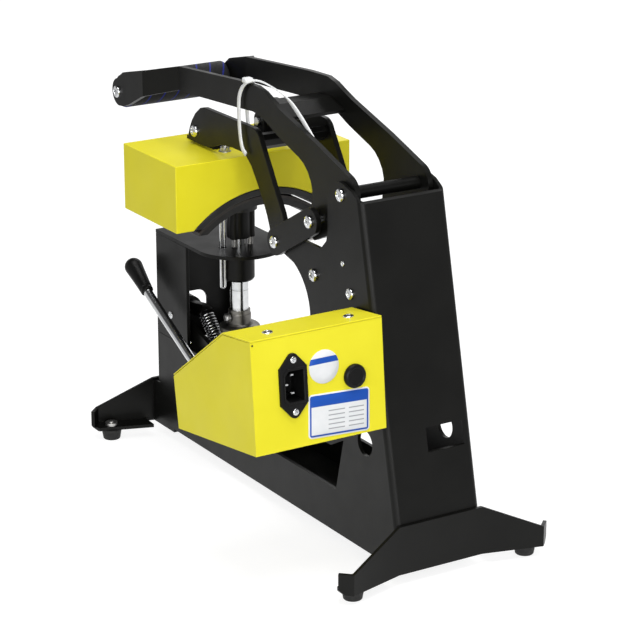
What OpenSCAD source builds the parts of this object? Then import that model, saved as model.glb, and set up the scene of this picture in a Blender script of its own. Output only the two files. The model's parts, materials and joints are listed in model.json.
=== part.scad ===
// Cap heat press with a toggle clamp, seen with its heater closed.
// The origin is on the floor under the middle of the frame, the operator stands on the -Y side.

/* [Frame] */
// Width over the two cheeks
frame_w = 78; // [76:0.5:80]
// Sheet thickness of the frame, pedestal and foot bars
sheet_t = 3; // [2.5:0.5:3]
// Half of the length over the two foot bars, at their middle
bar_y = 200; // [198:1:202]
// Half of the width over the foot bar tips
bar_tip_x = 98; // [96:1:100]
// Height of the foot bars
bar_h = 49; // [48:0.5:49]
// Height of the top of the post
post_top_z = 303; // [302:0.5:304]

/* [Clamp linkage] */
// Thickness of the handle plates and heater arms
plate_t = 4.5; // [4:0.5:4.5]
// Gap between a cheek and the plates inside it
plate_gap = 0.5; // [0.4:0.1:0.6]
// Radius of the pivot pins
pin_r = 4; // [3:0.5:4]
// Radial clearance of a running pin
run_gap = 0.05; // [0.03:0.01:0.1]
// Radius of the grip
grip_r = 14.5; // [13:0.5:15]

/* [Heater] */
// Width of the heater housing
heater_w = 168; // [160:1:170]
// Length of the heater housing
heater_l = 91; // [88:1:92]
// Radius of the heated face
heated_r = 92; // [92:0.1:92.4]

/* [Lower platen] */
// Radius of the top of the silicone pad
pad_r = 89.9; // [89.5:0.1:90.2]
// Radius of the chromed post
post_r = 8; // [7:0.5:8]

/* [Control box] */
// Width of the control box
box_w = 115; // [112:1:116]
// Wall thickness of the control box
box_t = 1.2; // [1:0.1:1.5]

/* [Springs] */
// Wire diameter of the lever spring
wire_d = 1.5; // [1.4:0.1:1.6]
// Number of curls of the lever spring
spring_curls = 11; // [9:1:12]

/* [Hidden] */
$fn = 48;
half_w = frame_w / 2;
inner_w = half_w - sheet_t;
plate_out = inner_w - plate_gap;
plate_in = plate_out - plate_t;
link_in = half_w + 0.6;
link_t = 4.4;
bore_r = pin_r + run_gap;

// Pivots of the clamp, as points in the (Y, Z) plane
s1 = [114, 293];
s2 = [76, 263];
s3 = [23, 233];
s4 = [75, 218.5];
s7 = [-120, 292];
grip_c = [-221.5, 307.5];

// Heater and lower platen, curved about an axis along Y
heater_y0 = -157;
heater_z0 = 223;
heater_z1 = 280;
curve_z = 152;
housing_r = 98;
column_y = -110;
shelf_z = 187;
pad_under_r = 87.5;
platen_under_r = 82;
deck_z = 96;

// Pedestal in front
ped_y = -187;

// Cap lever
lever_c = [-75, 84];
lever_x = 52;
lever_rod_r = 4;

// Control box outline in (Y, Z): lip, panel top, lid back, bottom back, bottom front
box_x = half_w + 2;
box_pts = [[57, 153], [134, 209], [175, 214], [183, 126], [64, 110]];
panel_a = atan2(box_pts[1].y - box_pts[0].y, box_pts[1].x - box_pts[0].x);
back_a = atan2(box_pts[2].x - box_pts[3].x, box_pts[2].y - box_pts[3].y);

// A plate between two X values, drawn in (Y, Z)
module plate(x0, x1) {
    translate([x0, 0, 0])
        rotate([90, 0, 90])
            linear_extrude(x1 - x0)
                children();
}

// The same plate on the side given by s, from |X| = a to |X| = b
module side_plate(s, a, b) {
    if (s > 0) {
        plate(a, b) children();
    } else {
        plate(-b, -a) children();
    }
}

// A plate between two Y values, drawn in (X, Z)
module front_plate(y0, y1) {
    translate([0, y1, 0])
        rotate([90, 0, 0])
            linear_extrude(y1 - y0)
                children();
}

module x_rod(x0, x1, c, r) {
    translate([x0, c.x, c.y])
        rotate([0, 90, 0])
            cylinder(h = x1 - x0, r = r);
}

// A pan head on the side s, whose flat face is at |X| = a
module pan_head(s, a, c, r = 5.2, h = 3) {
    translate([s * a, c.x, c.y])
        rotate([0, s * 90, 0])
            rotate_extrude()
                intersection() {
                    square([r, h]);
                    translate([0, h - r * 1.25])
                        circle(r = r * 1.25);
                }
}

// Points on an arc
function arc(c, r, a0, a1, n) = [for (i = [0:n]) c + r * [cos(a0 + (a1 - a0) * i / n), sin(a0 + (a1 - a0) * i / n)]];

// A bar with two round ends
module capsule(a, ra, b, rb, n = 20) {
    d = b - a;
    u = atan2(d.y, d.x);
    w = acos((ra - rb) / norm(d));
    polygon(concat(arc(a, ra, u + w, u + 360 - w, n), arc(b, rb, u - w, u + w, n)));
}

module hole(c, r) {
    translate(c) circle(r = r);
}

// Main frame: two cheeks and the leaning rear panel, one folded sheet
rear_low = [196, 47];
rear_high = [142, 292];
rear_lean = atan2(rear_low.x - rear_high.x, rear_high.y - rear_low.y);
dome_r = 19;
horn_r = 48;
gap_c = [24, 180];
gap_r = 45.5;
gap_rear_y = 69.5;
rail_z = 48.5;
base_z = 12;
fold_r = 5;

panel_len = 400;
fold_depth = 500;
// Where the round front of the horn meets the round front of the post
horn_top = 243;
horn_d = norm(s4 - gap_c);
horn_u = atan2(s4.y - gap_c.y, s4.x - gap_c.x);
gap_end = horn_u + acos((gap_r * gap_r - horn_r * horn_r + horn_d * horn_d) / (2 * horn_d * gap_r));
horn_start = 180 + horn_u - acos((horn_r * horn_r - gap_r * gap_r + horn_d * horn_d) / (2 * horn_d * horn_r));
horn_end = 180 - asin((horn_top - s4.y) / horn_r);
corner_r = 30;
// Side view of the sheet, with the openings and bores that run through both cheeks
module frame_profile() {
    difference() {
        polygon(concat(
            [
                [129, 299], [139, 293], rear_high, rear_low, [bar_y - sheet_t, bar_h - 2],
                [bar_y - sheet_t, base_z], [sheet_t - bar_y, base_z], [sheet_t - bar_y, bar_h - 2],
                [ped_y + sheet_t, bar_h], [ped_y + sheet_t, deck_z]
            ],
            // Round lower corner in front of the post, then the round opening and the horn
            arc([gap_rear_y - corner_r, deck_z + corner_r], corner_r, -90, 0, 10),
            arc(gap_c, gap_r, 0, gap_end, 20),
            arc(s4, horn_r, horn_start, horn_end, 8),
            [[85, horn_top], [93, 251], [95, 258]],
            arc([s1.x, post_top_z - dome_r], dome_r, 180, 90, 12)
        ));
        // Lower opening beside the rear panel
        polygon([[-40, rail_z], [108, rail_z], [119, 94], [100, 84], [-40, 84]]);
        hole([150, 102], 10.5);
        hole(s1, bore_r);
        hole(s4, bore_r);
        hole(lever_c, 5.05);
    }
}

// A block along the leaning panel, inset by d from the outside of the sheet
module fold_block(d) {
    w = half_w - d;
    r = fold_r - d;
    translate([0, rear_low.x, rear_low.y])
        rotate([rear_lean, 0, 0])
            translate([0, 0, -60])
                linear_extrude(panel_len)
                    polygon(concat(
                        [[-w, -fold_depth], [w, -fold_depth]],
                        arc([w - r, -fold_r], r, 0, 90, 6),
                        arc([r - w, -fold_r], r, 90, 180, 6)
                    ));
}

module main_frame() {
    color("#1c1c1d") {
        difference() {
            intersection() {
                plate(-half_w, half_w) frame_profile();
                fold_block(0);
            }
            fold_block(sheet_t);
            // Below the panel only the cheeks go on
            translate([-inner_w, 150, 0]) cube([2 * inner_w, 60, rear_low.y]);
            // Cable window in the rear panel
            translate([-31, 150, 98.4]) cube([34, 60, 19]);
        }
        // Base sheet between the cheeks
        translate([-inner_w - 1, 4 - bar_y, base_z]) cube([2 * inner_w + 2, 2 * bar_y - 8, sheet_t]);
    }
}

// Foot bars: a middle stretch, two splayed arms and two tips turned inwards, one folded sheet each
fold_x = bar_tip_x - 9;
fold_out = 13.5;
tip_out = 4.8;
tip_z = 26;
flange_z = 9;
// Square to the stretch from a to b, to its right
function right_of(a, b) = [b.y - a.y, a.x - b.x] / norm(b - a);
// The point b moved to the right by t where the stretches a to b and b to c meet
function mitre(a, b, c, t) = b + t * (right_of(a, b) + right_of(b, c)) / (1 + right_of(a, b) * right_of(b, c));
module foot_bar(s) {
    front = [
        [-bar_tip_x, tip_out], [-fold_x, fold_out], [-half_w, 0],
        [half_w, 0], [fold_x, fold_out], [bar_tip_x, tip_out]
    ];
    back = [for (i = [5:-1:0])
        i == 5 ? front[5] + sheet_t * right_of(front[4], front[5])
        : i == 0 ? front[0] + sheet_t * right_of(front[0], front[1])
        : mitre(front[i - 1], front[i], front[i + 1], sheet_t)];
    flange = [
        [bar_tip_x - 3, 1], [bar_tip_x - 4, -3], [48, -19], [47, -2], [half_w, -2], [half_w, -40],
        [-half_w, -40], [-half_w, -2], [-47, -2], [-48, -19], [4 - bar_tip_x, -3], [3 - bar_tip_x, 1]
    ];
    color("#1b1b1c")
        difference() {
            union() {
                translate([0, 0, flange_z])
                    linear_extrude(bar_h - flange_z) bar_plan(s, concat(front, back));
                translate([0, 0, flange_z])
                    linear_extrude(sheet_t) bar_plan(s, concat(front, flange));
            }
            // Tops of the arms slope down to the tips, whose lower corners are cut off
            for (m = [1, -1])
                front_plate(-bar_y - 60, bar_y + 60) {
                    polygon([
                        [m * half_w, bar_h], [m * fold_x, tip_z],
                        [m * (bar_tip_x + 10), tip_z], [m * (bar_tip_x + 10), bar_h + 10], [m * half_w, bar_h + 10]
                    ]);
                    polygon([
                        [m * (bar_tip_x - 3.5), flange_z - 1], [m * (bar_tip_x - 3.5), flange_z],
                        [m * (bar_tip_x + 1), flange_z + 5], [m * (bar_tip_x + 1), flange_z - 1]
                    ]);
                }
            for (x = [-foot_x, foot_x])
                translate([x, s * foot_y, 0]) cylinder(h = 20, r = 3.1);
        }
}
// A plan outline measured outwards from the middle of a foot bar
module bar_plan(s, pts) {
    polygon([for (p = pts) [p.x, s * (bar_y + p.y)]]);
}
module rear_foot_bar() {
    foot_bar(1);
}
module front_foot_bar() {
    foot_bar(-1);
}

foot_x = 81;
foot_y = 199;
module rubber_feet() {
    color("#151515")
        for (x = [-foot_x, foot_x], y = [-foot_y, foot_y])
            translate([x, y, 0])
                difference() {
                    cylinder(h = 9, r1 = 7.5, r2 = 9);
                    translate([0, 0, 3]) cylinder(h = 7, r = 3.05);
                }
}
module foot_bolts() {
    color("silver")
        for (x = [-foot_x, foot_x], y = [-foot_y, foot_y])
            translate([x, y, 0]) {
                translate([0, 0, 3.1]) cylinder(h = 12.9, r = 3);
                translate([0, 0, 12]) cylinder(h = 3, r = 5.5);
            }
}

module column_deck() {
    color("#202021") {
        difference() {
            translate([-inner_w, -183, deck_z - 6]) cube([2 * inner_w, 150, 6]);
            translate([0, column_y, deck_z - 7]) cylinder(h = 8, r = post_r + 0.5);
            // Slots for the cap hook arm, its head and its spring
            translate([-10, -184, deck_z - 7]) cube([35.5, 54, 8]);
            translate([25, -184, deck_z - 7]) cube([9.5, 124, 8]);
            // Pocket for the low end of the spring
            translate([2.6, -131, deck_z - 7]) cube([15.2, 9.5, 8]);
        }
        // Bridge across the pocket, on which the spring stands
        on_spring(spring_low + spring_dir * (wire_d + 0.02), 1)
            translate([-9, -2.5, 0]) cube([18, 9, 2.4]);
    }
}

slot_x0 = -10;
slot_x1 = 26;
slot_top = 128.5;
slot_r = 10;
module front_pedestal() {
    color("#1e1e1f")
        difference() {
            union() {
                translate([-half_w, ped_y, 49.2]) cube([frame_w, sheet_t, shelf_z - 49.2]);
                translate([inner_w, ped_y, 96.2]) cube([sheet_t, 54, shelf_z - 96.2]);
                translate([-half_w, ped_y, 96.2]) cube([sheet_t, 25, shelf_z - 96.2]);
            }
            front_plate(ped_y - 1, ped_y + sheet_t + 1)
                polygon(concat(
                    [[slot_x0, 55], [slot_x1, 55]],
                    arc([slot_x1 - slot_r, slot_top - slot_r], slot_r, 0, 90, 8),
                    arc([slot_x0 + slot_r, slot_top - slot_r], slot_r, 90, 180, 8)
                ));
        }
}

guide_x = 17;
stud_pts = [[7, 5], [-2, -9], [-9, 4]];
stud_r = 2.5;
module platen_shelf() {
    color("#262627")
        translate([0, 0, shelf_z + 0.1])
            linear_extrude(sheet_t)
                difference() {
                    union() {
                        translate([0, column_y]) circle(r = half_w);
                        translate([-half_w, ped_y]) square([frame_w, column_y - ped_y]);
                    }
                    for (p = stud_pts)
                        translate([p.x, column_y + p.y]) circle(r = stud_r + 0.3);
                    translate([guide_x, column_y + 2]) square([7, 3.2], center = true);
                    translate([0, column_y]) circle(r = 6.05);
                }
}

// A cup under the shelf, in which the stud ends go down with the platen
module shelf_collar() {
    color("#1a1a1a")
        translate([0, column_y, 0])
            rotate_extrude()
                polygon([
                    [post_r + run_gap, 159], [12, 159], [13.5, 161], [13.5, shelf_z], [12.7, shelf_z],
                    [12.7, 179.5], [post_r + run_gap, 179.5]
                ]);
}

socket_top = 132;
clamp_z = 125.5;
module post_socket() {
    color("#5c5a56")
        translate([0, column_y, 0])
            difference() {
                rotate_extrude()
                    polygon([
                        [post_r - 3, deck_z], [12, deck_z], [12, 110], [17, 112], [17.5, 113],
                        [17.5, 117], [16.5, 118], [11.2, 118.5], [10, 120], [10, socket_top - 4],
                        [9.4, socket_top - 3], [9.4, socket_top], [post_r - 3, socket_top]
                    ]);
                translate([0, 0, deck_z - 1]) cylinder(h = 40, r = post_r + run_gap);
                translate([5, 0, clamp_z]) rotate([0, 90, 0]) cylinder(h = 8, r = 2.05);
            }
}
module post_clamp_screw() {
    color("silver")
        translate([0, column_y, clamp_z])
            rotate([0, 90, 0]) {
                translate([0, 0, post_r + 0.2]) cylinder(h = 3, r = 2);
                translate([0, 0, 10.2])
                    rotate_extrude()
                        intersection() {
                            square([4, 4.6]);
                            circle(r = 5);
                        }
            }
}

module frame_screws() {
    color("silver") {
        pan_head(1, half_w, [117, 239], 2.2, 1);
        pan_head(1, half_w, [128, 217.5], 4.6, 2.6);
        pan_head(1, half_w, [-162, 118], 3.4, 1.4);
        pan_head(-1, half_w, [117, 239], 2.2, 1);
        pan_head(-1, half_w, [128, 217.5], 4.6, 2.6);
    }
}

// Handle plates: an arched lever with its tail at the link pin
module handle_outline() {
    difference() {
        union() {
            translate(s1) circle(r = 16);
            polygon([
                [120, 307.8], [74, 323], [19, 339], [4, 344.5], [-6, 348.5], [-18, 351], [-47, 350],
                [-147, 342], [-147, 321.5], [-113, 323], [-50, 327], [-24, 329], [-13, 328], [-4, 325],
                [13, 318], [22, 315], [47, 307], [54, 303.7], [60, 298.5], [64.6, 292], [67, 285], [66, 278],
                [64.5, 262], [64.5, 252], [66, 247], [70, 245], [90, 254], [125, 281]
            ]);
        }
        translate(s1) circle(r = pin_r + 0.02);
        translate(s2) circle(r = pin_r + 0.02);
    }
}
// The plates are folded outwards at the first of these Y values and straight again at the second
jog = 19.5;
jog_y = [-147, -175];
jog_in = (plate_out - plate_in) * tan(atan2(jog, jog_y[0] - jog_y[1]) / 2);
jog_end = jog_y[1] - 3;
module handle_plate(s) {
    // The plate steps outwards before the grip
    color("#1d1d1d") {
        side_plate(s, plate_in, plate_out) handle_outline();
        difference() {
            union() {
                scale([s, 1, 1])
                    intersection() {
                        translate([0, 0, 200])
                            linear_extrude(200)
                                polygon([
                                    [plate_in, jog_y[0]], [plate_out, jog_y[0]], [plate_out + jog, jog_y[1]],
                                    [plate_out + jog, jog_end], [plate_in + jog, jog_end],
                                    [plate_in + jog, jog_y[1] - jog_in], [plate_in, jog_y[0] - jog_in]
                                ]);
                        plate(0, 60)
                            polygon([[-147, 342], [-178, 334.3], [-178, 311.6], [-165, 315.9], [-147, 321.5]]);
                    }
                side_plate(s, plate_in + jog, plate_out + jog) {
                    translate([-219, 307.7]) circle(r = 12);
                    polygon([
                        [-176.6, 334.7], [-211.3, 326.4], [-220.5, 319.6], [-219, 307.7], [-220, 295.8],
                        [-211.2, 296.4], [-201, 300.2], [-179, 311.1], [-176.6, 312.1]
                    ]);
                }
            }
            x_rod(-60, 60, grip_c, 4.02);
        }
    }
}
module handle_plate_left() {
    handle_plate(1);
}
module handle_plate_right() {
    handle_plate(-1);
}
module handle_cross_tube() {
    color("#202020")
        difference() {
            x_rod(-plate_in, plate_in, s1, 5.2);
            x_rod(-plate_in - 1, plate_in + 1, s1, pin_r + 0.02);
        }
}
module handle_cross_plate() {
    color("#262626")
        plate(-plate_in, plate_in)
            polygon([[-34, 331], [-12, 332.5], [8, 326], [9, 329], [-11, 335.6], [-34, 334]]);
}
module grip_rod() {
    color("silver")
        x_rod(-plate_out - jog, plate_out + jog, grip_c, 4);
}
module handle_grip() {
    color("#191a1c")
        difference() {
            x_rod(-plate_in - jog + 0.1, plate_in + jog - 0.1, grip_c, grip_r);
            x_rod(-plate_out - jog, plate_out + jog, grip_c, 4.02);
        }
}
module grip_screws() {
    color("silver")
        for (s = [1, -1])
            pan_head(s, plate_out + jog, grip_c, 5.2, 3);
}
module handle_pivot_bolts() {
    color("silver")
        for (s = [1, -1]) {
            x_rod(min(s * 18, s * (half_w + 0.4)), max(s * 18, s * (half_w + 0.4)), s1, pin_r);
            pan_head(s, half_w + 0.3, s1);
        }
}
module link_pins() {
    color("silver")
        for (s = [1, -1]) {
            x_rod(min(s * plate_in, s * (link_in + link_t + 0.2)), max(s * plate_in, s * (link_in + link_t + 0.2)), s2, pin_r);
            pan_head(s, link_in + link_t + 0.2, s2);
        }
}

// Cable tie: a flat strap over the near handle plate, with one end hanging on each side
tie_pts = [
    [38.8, -30.3, 292.3], [39.3, -35.3, 296.7], [39.4, -38.5, 306.9],
    [39.2, -40.2, 319], [39, -40.9, 331.2], [38.8, -39.8, 339.7], [38.4, -35.5, 347.1],
    [37.4, -29.2, 352.4], [35, -24.6, 354.6], [31.5, -19.5, 354.8], [29.4, -9.8, 353.6],
    [29, 8.1, 351.1], [29, 23.3, 346.6], [29, 38.3, 338.4], [29, 51.7, 329.3],
    [29, 63.6, 319.8], [29, 70.9, 312.7], [29, 75.3, 306.5]
];
tie_w = 4.4;
tie_t = 1.1;
function unit(v) = v / norm(v);
module cable_tie() {
    n = len(tie_pts);
    ring = [for (i = [0:n - 1])
        let (
            t = unit(tie_pts[min(i + 1, n - 1)] - tie_pts[max(i - 1, 0)]),
            f = [33.2, tie_pts[i].y, min(tie_pts[i].z, 345)] - tie_pts[i],
            v = unit(f - t * (f * t)),
            w = cross(t, v) * tie_w / 2
        )
        each [tie_pts[i] + w, tie_pts[i] + w - v * tie_t, tie_pts[i] - w - v * tie_t, tie_pts[i] - w]];
    color("#f0f1f0") {
        polyhedron(
            points = ring,
            faces = concat(
                [for (i = [0:n - 2], k = [0:3]) each [
                    [4 * i + k, 4 * i + 4 + k, 4 * i + (k + 1) % 4],
                    [4 * i + (k + 1) % 4, 4 * i + 4 + k, 4 * i + 4 + (k + 1) % 4]
                ]],
                [[0, 1, 2], [0, 2, 3], [4 * n - 4, 4 * n - 2, 4 * n - 3], [4 * n - 4, 4 * n - 1, 4 * n - 2]]
            )
        );
    }
}

// Toggle links, outside the cheeks
module toggle_link(s) {
    color("#1e1e1e")
        side_plate(s, link_in, link_in + link_t)
            difference() {
                capsule(s2, 11, s3, 11);
                translate(s2) circle(r = bore_r);
                translate(s3) circle(r = pin_r + 0.02);
            }
}
module toggle_link_left() {
    toggle_link(1);
}
module toggle_link_right() {
    toggle_link(-1);
}
module link_bolts() {
    color("silver")
        for (s = [1, -1]) {
            x_rod(min(s * link_in, s * (link_in + link_t)), max(s * link_in, s * (link_in + link_t)), s3, pin_r);
            pan_head(s, link_in + link_t, s3);
        }
}

// Heater arms: bell cranks from the hinge in the cheeks to the heater
module arm_outline() {
    tail_u = atan2(s4.y - s3.y, s4.x - s3.x);
    difference() {
        polygon(concat(
            [
                [-27, 315.5], [-104, 315.3], [-110.5, 313.8], [-119.2, 307.4], [-125.2, 300.3],
                [-128.8, 293.8], [-131.3, 287.8], [-131, 284], [-128, 282.2], [-106, 282.2], [-98, 282.5], [-77, 289.5], [-58, 291.4], [-38, 291.4],
                [-27, 283], [-15, 267], [-8, 257], [-3, 248], [1, 239], [3.5, 231]
            ],
            arc([14, 234], 11, 200, 250, 5),
            [s3 + 10.5 * [cos(270 + tail_u), sin(270 + tail_u)]],
            arc(s4, 8.5, 270 + tail_u, 450 + tail_u, 16),
            [s3 + 9.5 * [cos(90 + tail_u), sin(90 + tail_u)] + [3, -0.8], [24.5, 247], [21, 255], [7, 276], [-12, 306]],
            arc([-25, 302.5], 13, 20, 85, 6)
        ));
        translate(s3) circle(r = pin_r + 0.02);
        translate(s4) circle(r = pin_r + 0.02);
        translate(s7) circle(r = pin_r + 0.02);
    }
}
module heater_arm(s) {
    color("#1f1f1f")
        side_plate(s, plate_in, plate_out) arm_outline();
}
module heater_arm_left() {
    heater_arm(1);
}
module heater_arm_right() {
    heater_arm(-1);
}
module heater_arm_web() {
    color("#232323")
        plate(-plate_in, plate_in)
            polygon([[-62, 296], [-24, 296], [-19, 300], [-16, 306], [-19, 310], [-23, 306], [-26, 300], [-62, 299]]);
}
module arm_pivot_rod() {
    color("silver") {
        x_rod(-half_w - 0.4, half_w + 0.4, s4, pin_r);
        for (s = [1, -1])
            pan_head(s, half_w + 0.3, s4);
    }
}
module arm_cross_rod() {
    color("silver")
        x_rod(-half_w, half_w, s3, pin_r);
}
module heater_hinge_bolts() {
    color("silver")
        for (s = [1, -1]) {
            x_rod(min(s * 24, s * (plate_out + 0.1)), max(s * 24, s * (plate_out + 0.1)), s7, pin_r);
            pan_head(s, plate_out, s7);
        }
}

// Heater: hanger, sheet housing, curved platen, element and insulation
hanger_x = 30.6;
module heater_hanger() {
    color("#222222")
        difference() {
            union() {
                translate([-hanger_x, -143, heater_z1 + 0.1]) cube([2 * hanger_x, 46, 3]);
                for (s = [1, -1])
                    side_plate(s, hanger_x - 4, hanger_x)
                        union() {
                            translate(s7) circle(r = 8.4);
                            translate([s7.x - 8.4, heater_z1 + 0.1]) square([16.8, s7.y - heater_z1]);
                        }
            }
            x_rod(-40, 40, s7, bore_r);
        }
}
wall = 1.5;
// Studs of the heating element, beside the hanger
heater_stud = [25, -88];
module heater_housing() {
    color("#e3dc2e")
        difference() {
            translate([-heater_w / 2, heater_y0, heater_z0]) cube([heater_w, heater_l, heater_z1 - heater_z0]);
            translate([-heater_w / 2 + wall, heater_y0 + wall, heater_z0 - 1])
                cube([heater_w - 2 * wall, heater_l - 2 * wall, heater_z1 - heater_z0 + 1 - wall]);
            front_plate(heater_y0 - 1, heater_y0 + heater_l + 1)
                hole([0, curve_z], housing_r);
            for (m = [-1, 1])
                translate([m * heater_stud.x, heater_stud.y, heater_z1 - 3]) cylinder(h = 6, r = 3.2);
        }
}
// A curved slab between two radii, as wide as half gives on each side, cut level at the height low
module curved_slab(r0, r1, half, y0, y1, low = curve_z + 20) {
    front_plate(y0, y1)
        intersection() {
            difference() {
                translate([0, curve_z]) circle(r = r1, $fn = 160);
                translate([0, curve_z]) circle(r = r0, $fn = 160);
            }
            translate([-half, low]) square([2 * half, 120]);
        }
}
inner_y0 = heater_y0 + wall + 0.2;
inner_y1 = heater_y0 + heater_l - wall - 0.2;
module heater_platen() {
    color("#3b3b3c")
        curved_slab(heated_r, housing_r - 0.2, 70, heater_y0 + 0.2, heater_y0 + heater_l - 0.2, heater_z0);
}
module heating_element() {
    color("#b8862f")
        curved_slab(housing_r, housing_r + 2, 66, inner_y0, inner_y1);
}
module insulation_pad() {
    color("#d9d4c6")
        difference() {
            curved_slab(housing_r + 2.2, housing_r + 14, 62, inner_y0, inner_y1);
            for (m = [-1, 1])
                translate([m * heater_stud.x, heater_stud.y, 240]) cylinder(h = 40, r = 3.2);
        }
}
module heater_nuts() {
    color("silver")
        for (m = [-1, 1])
            translate([m * heater_stud.x, heater_stud.y, 0]) {
                difference() {
                    union() {
                        translate([0, 0, heater_z1 + 0.1]) cylinder(h = 0.8, r = 5.2);
                        translate([0, 0, heater_z1 + 0.8]) cylinder(h = 3.2, r = 4.6, $fn = 6);
                    }
                    translate([0, 0, heater_z1]) cylinder(h = 6, r = 2.52);
                }
                translate([0, 0, 255]) cylinder(h = heater_z1 + 5.4 - 255, r = 2.5);
            }
}

// Lower platen on its post
module platen_post() {
    color("#d5d7d9")
        translate([0, column_y, 0]) {
            translate([0, 0, 104]) cylinder(h = 186.8 - 104, r = post_r);
            translate([0, 0, 186]) cylinder(h = 11, r = 6);
        }
}
hub_z = 197;
module platen_hub() {
    color("#161616")
        translate([0, column_y, 0])
            difference() {
                union() {
                    translate([0, 0, hub_z]) cylinder(h = 36, r = 10.3);
                    // Bosses round the studs
                    for (p = stud_pts)
                        translate([p.x, p.y, hub_z]) cylinder(h = 25, r = stud_r + 1.6);
                }
                for (p = stud_pts)
                    translate([p.x, p.y, hub_z - 1]) cylinder(h = 20, r = stud_r + 0.02);
            }
}
module platen_studs() {
    color("#b9bbbd")
        for (p = stud_pts)
            translate([p.x, column_y + p.y, 187.6]) cylinder(h = 26, r = stud_r);
}
guide_wire_r = 1.1;
guide_bend_r = 1.9;
guide_low = 156;
// A wire bent into a hairpin, whose two legs hang from the platen
module guide_rod() {
    color("#cfd1d3")
        translate([guide_x, column_y + 2, 0]) {
            for (s = [1, -1])
                translate([s * guide_bend_r, 0, guide_low]) cylinder(h = 231.5 - guide_low, r = guide_wire_r);
            translate([0, 0, guide_low])
                rotate([-90, 0, 0])
                    rotate_extrude(angle = 180)
                        translate([guide_bend_r, 0]) circle(r = guide_wire_r);
        }
}
platen_y0 = -150;
platen_y1 = -72;
platen_low = 216;
module lower_platen() {
    color("#303031") {
        curved_slab(platen_under_r, pad_under_r - 0.1, 58, platen_y0, platen_y1, platen_low);
        difference() {
            translate([0, column_y, 222]) cylinder(h = 14, r = 16);
            translate([0, column_y, 221]) cylinder(h = 12.1, r = 10.4);
            // Bores of the guide wire
            for (s = [1, -1])
                translate([guide_x + s * guide_bend_r, column_y + 2, 215]) cylinder(h = 16.6, r = guide_wire_r + 0.02);
            front_plate(-140, -80)
                difference() {
                    translate([-30, 225]) square([60, 30]);
                    translate([0, curve_z]) circle(r = platen_under_r + 0.5, $fn = 160);
                }
        }
    }
}
module silicone_pad() {
    color("#2a2523")
        curved_slab(pad_under_r, pad_r, 60, platen_y0 - 1, platen_y1 + 1, platen_low);
}

// Cap lever: rod and knob outside the cheek, hook arm and spring inside
lever_dir = [-cos(26.6), sin(26.6)];
lever_end = lever_c + lever_dir * 115;
knob_dir = 38 * [0, -cos(33), sin(33)];
module lever_shaft() {
    color("#b5b7b9")
        x_rod(-half_w - 0.4, lever_x + 4, lever_c, 5);
}
// A rod from one point to another
module rod_between(a, b, r0, r1) {
    d = b - a;
    translate(a)
        rotate([0, acos(d.z / norm(d)), atan2(d.y, d.x)])
            cylinder(h = norm(d), r1 = r0, r2 = r1);
}
module lever_rod() {
    color("#d7d9da")
        difference() {
            union() {
                rod_between([lever_x, lever_c.x, lever_c.y], [lever_x, lever_end.x, lever_end.y], lever_rod_r, lever_rod_r);
                translate([lever_x, lever_end.x, lever_end.y]) sphere(r = lever_rod_r + 0.3);
                rod_between([lever_x, lever_end.x, lever_end.y],
                    [lever_x, lever_end.x, lever_end.y] + knob_dir * 0.6, lever_rod_r, lever_rod_r);
                x_rod(half_w + 1, lever_x + 8, lever_c, 10);
            }
            x_rod(half_w, lever_x + 20, lever_c, 5.02);
        }
}
module lever_knob() {
    a = [lever_x, lever_end.x, lever_end.y] + knob_dir * 0.06;
    knob_len = norm(knob_dir) * 0.78;
    knob_r = 8;
    color("#151515")
        translate(a)
            rotate([0, acos(knob_dir.z / norm(knob_dir)), atan2(knob_dir.y, knob_dir.x)])
                difference() {
                    rotate_extrude()
                        polygon(concat([[0, 0], [5.6, 0]], arc([0, knob_len], knob_r, 0, 90, 12)));
                    translate([0, 0, -1])
                        cylinder(h = norm(knob_dir) * 0.56 + 1, r = lever_rod_r + 0.05);
                }
}
arm_x0 = 26.5;
arm_x1 = 31;
head_c = [10.5, 112];
head_r = 13.5;
spring_top = [10.2, -150, 117];
spring_low = [10.2, -128, 95.5];
spring_dir = (spring_low - spring_top) / norm(spring_low - spring_top);
// Turns children so that their +Z runs along the spring, towards the end given by s
module on_spring(at, s) {
    translate(at)
        rotate([(s > 0 ? 0 : 180) - acos(spring_dir.z), 0, 0])
            children();
}
module cap_hook_arm() {
    color("#19191a")
        difference() {
            union() {
                plate(arm_x0, arm_x1)
                    polygon(concat(
                        arc(lever_c, 10, -107, 73, 14),
                        [[-160, 119], [-172, 120], [-178, 114], [-178, 104], [-160, 92]]
                    ));
                // Cross bar behind the front panel, with the tab of the spring
                translate([head_c.x, -178, 104]) cube([arm_x1 - head_c.x, 8, 12]);
                translate([head_c.x, -181, head_c.y])
                    rotate([90, 0, 0]) cylinder(h = 15, r = head_r);
                translate([head_c.x - 3, -182, 114]) cube([6, 12, 8]);
                // Apron that closes the slot below the head
                translate([-9, -179.5, 87.4]) cube([34, 3, 22.6]);
                plate(head_c.x - 3, head_c.x + 3)
                    polygon([[-180, 112], [-180, 122], [-151, 126], [-149.5, 119.5], [-153, 116], [-165, 112]]);
                // Hook that holds the cap
                plate(head_c.x - 4, head_c.x + 4)
                    polygon(concat(
                        [[-194, 104], [-194, 122], [-200, 128], [-200, 150]],
                        arc([-205, 150], 5, 0, 180, 8),
                        [[-210, 122], [-206, 108]]
                    ));
                on_spring(spring_top - spring_dir * (wire_d + 0.02), -1)
                    cylinder(h = 2.4, r = 6.8);
            }
            x_rod(arm_x0 - 5, arm_x1 + 5, lever_c, 5.02);
        }
}

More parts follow.
